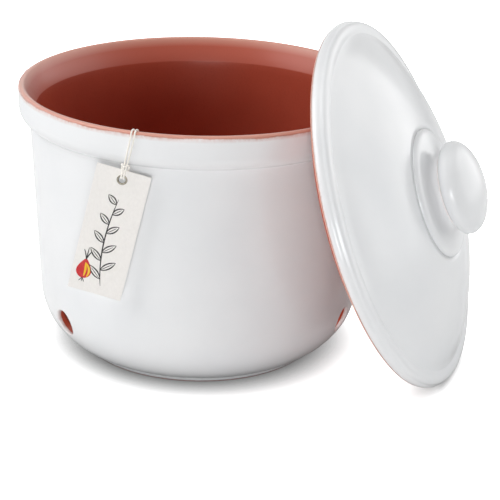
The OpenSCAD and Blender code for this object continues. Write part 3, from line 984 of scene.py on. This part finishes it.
def make_print(name, material, strokes, lift=0):
    """Strokes of one ink as thin closed strips on the card's front."""
    parts = []
    for order, (line, width) in enumerate(strokes):
        way = np.gradient(line, axis=0)
        way /= np.linalg.norm(way, axis=1, keepdims=True)
        side = np.column_stack([way[:, 1], -way[:, 0]]) * width[:, None]
        front = -CARD_T / 2 - (1 + lift) * INK_T - order * INK_STEP
        back = -CARD_T / 2 + INK_T
        rings = np.stack([np.column_stack([p[:, 0], np.full(len(p), y), p[:, 1]]) for p, y in (
            (line + side, front), (line - side, front), (line - side, back), (line + side, back))], 1)
        parts.append(tube_mesh(rings))
    verts, faces = joined(parts)
    make_piece(name, verts, faces, material, "tag", place=tag_place, smooth=False)


def make_prints():
    body, shine, lines = bulb_strokes()
    red = ink_material("red_ink", rgb(203, 32, 40), rgb(216, 70, 66))
    gold = ink_material("golden_ink", rgb(247, 196, 36), rgb(249, 212, 96))
    black = ink_material("black_ink", rgb(22, 21, 21), rgb(60, 58, 56))
    make_print("tag_print_red", red, body)
    make_print("tag_print_gold", gold, shine, 2)
    make_print("tag_print_black", black, sprig_strokes() + lines, 1)


def make_eyelet(material):
    """The eyelet: a barrel with a rolled flange on each side of the card."""
    half = CARD_T / 2
    top = half + EYELET_FLANGE_T
    right = [(EYELET_FLANGE_R, half), (EYELET_FLANGE_R - 0.15 * MM, half + 0.25 * MM),
             (EYELET_FLANGE_R - 0.55 * MM, top), (EYELET_R + 0.35 * MM, top - 0.03 * MM),
             (EYELET_R, half - 0.1 * MM)]
    barrel = EYELET_R + EYELET_WALL
    upper = soften(right, EYELET_SOFT, EYELET_SOFT / 2)
    lower = upper[::-1] * (1, -1)
    outline = np.concatenate([upper, lower, [(barrel, -half), (barrel, half)]])
    verts = spun(outline, 0, EYELET_SEGMENTS).reshape(-1, 3)
    verts = np.column_stack([verts[:, 0], -verts[:, 2], verts[:, 1]])
    faces = grid_faces(len(outline), EYELET_SEGMENTS, True)
    make_piece("tag_eyelet_ring", verts, faces, material, "tag", ["tag_eyelet"], tag_place)


# Stage and light

FLOOR_SIZE = 6
FLOOR_COLOUR = 0.84
FLOOR_GLOW = 0.34
FLOOR_SEEN_GLOW = 1.5
SHADOW_REACH = 28 * MM
FLOOR_DROP = 0.05 * MM


def make_stage():
    """A plain white floor that keeps the object's soft shadow; the camera sees it lit more fully. Near
    the object its colour and glow are darkened by ambient occlusion, a painted contact shadow.
    """
    corners = [(x * FLOOR_SIZE, y * FLOOR_SIZE, 0) for x, y in ((-1, -1), (1, -1), (1, 1), (-1, 1))]
    mesh = bpy.data.meshes.new("floor")
    mesh.from_pydata(corners, [], [(0, 1, 2, 3)])
    material, shader = new_material("floor_white")
    tree = material.node_tree
    tree.nodes.remove(shader)
    path = add(material, "ShaderNodeLightPath").outputs
    paper = ramp(material, noise(material, 3, 2), 0, 1, 0.99, 1.01)
    # Painted contact shadow: ambient occlusion darkens the floor's colour and its glow near the object
    hidden = add(material, "ShaderNodeAmbientOcclusion", {"Distance": SHADOW_REACH}, samples=16)
    open_sky = hidden.outputs["AO"]
    matt = times(material, times(material, paper, FLOOR_COLOUR), open_sky)
    matt = add(material, "ShaderNodeBsdfDiffuse", {"Color": matt})
    mirrored = plus(material, path["Is Glossy Ray"], path["Is Transmission Ray"])
    glow = plus(material, times(material, mirrored, FLOOR_GLOW),
                times(material, path["Is Camera Ray"], FLOOR_SEEN_GLOW))
    glow = add(material, "ShaderNodeEmission", {"Strength": times(material, glow, open_sky)})
    both = add(material, "ShaderNodeAddShader", {0: matt.outputs["BSDF"], 1: glow.outputs["Emission"]})
    tree.links.new(both.outputs["Shader"], tree.nodes["Material Output"].inputs["Surface"])
    mesh.materials.append(material)
    floor = bpy.data.objects.new("floor", mesh)
    floor.location.z = -FLOOR_DROP
    bpy.context.scene.collection.objects.link(floor)


# Lamps: direction from the front towards +X, height in degrees, size in metres and strength in watts
LAMPS = {
    "left_high": (-110, 40, 1.4, 5.1),
    "left_top": (-90, 60, 1.4, 4.3),
    "left_mid": (-80, 36, 1.4, 14.6),
    "front_low": (-6, 3, 0.8, 16),
    "right_low": (70, 12, 1.4, 3.5),
    "right_back": (110, 14, 2.1, 17.5),
    "right_high": (100, 50, 1.4, 3.2),
    "top": (0, 89, 1.4, 5.8),
}
LAMP_DISTANCE = 1.8
LAMP_TARGET = np.array([50, 0, 100]) * MM
BACKDROP_SPAN = (-0.2, 0.5)
ROOM_LIGHT = 0.2


def area_light(name, turn, height, size, watts):
    a, e = math.radians(turn), math.radians(height)
    way = np.array([math.sin(a) * math.cos(e), -math.cos(a) * math.cos(e), math.sin(e)])
    data = bpy.data.lights.new(name, "AREA")
    data.shape = "DISK"
    data.size = size
    data.energy = watts
    light = bpy.data.objects.new(name, data)
    light.location = LAMP_TARGET + LAMP_DISTANCE * way
    light.rotation_euler = Vector(-way).to_track_quat("-Z", "Y").to_euler()
    bpy.context.scene.collection.objects.link(light)


def make_light():
    """The lamps, and a world that is white to the camera.
    Glossy rays see a white backdrop behind and a dimmer room in front."""
    world = bpy.data.worlds.new("studio")
    bpy.context.scene.world = world
    world.use_nodes = True
    background = world.node_tree.nodes["Background"]
    background.inputs["Color"].default_value = (1, 1, 1, 1)
    path = add(world, "ShaderNodeLightPath").outputs
    way = add(world, "ShaderNodeTexCoord").outputs["Generated"]
    backward = add(world, "ShaderNodeSeparateXYZ", {"Vector": way}).outputs["Y"]
    backdrop = ramp(world, backward, *BACKDROP_SPAN, ROOM_LIGHT, 1.0)
    mirrored = times(world, backdrop, plus(world, path["Is Glossy Ray"], path["Is Transmission Ray"]))
    give(world, background.inputs["Strength"], plus(world, path["Is Camera Ray"], mirrored))
    for name, lamp in LAMPS.items():
        area_light(name, *lamp)
    bpy.context.scene.view_settings.view_transform = "Standard"


# The whole scene

make_camera()
make_string(cotton_material())
clay, glaze = clay_material(), glaze_material()
make_pot(clay, glaze)
make_lid(clay, glaze)
make_knob(glaze)
make_card(paper_material())
make_prints()
make_eyelet(metal_material())
make_stage()
make_light()
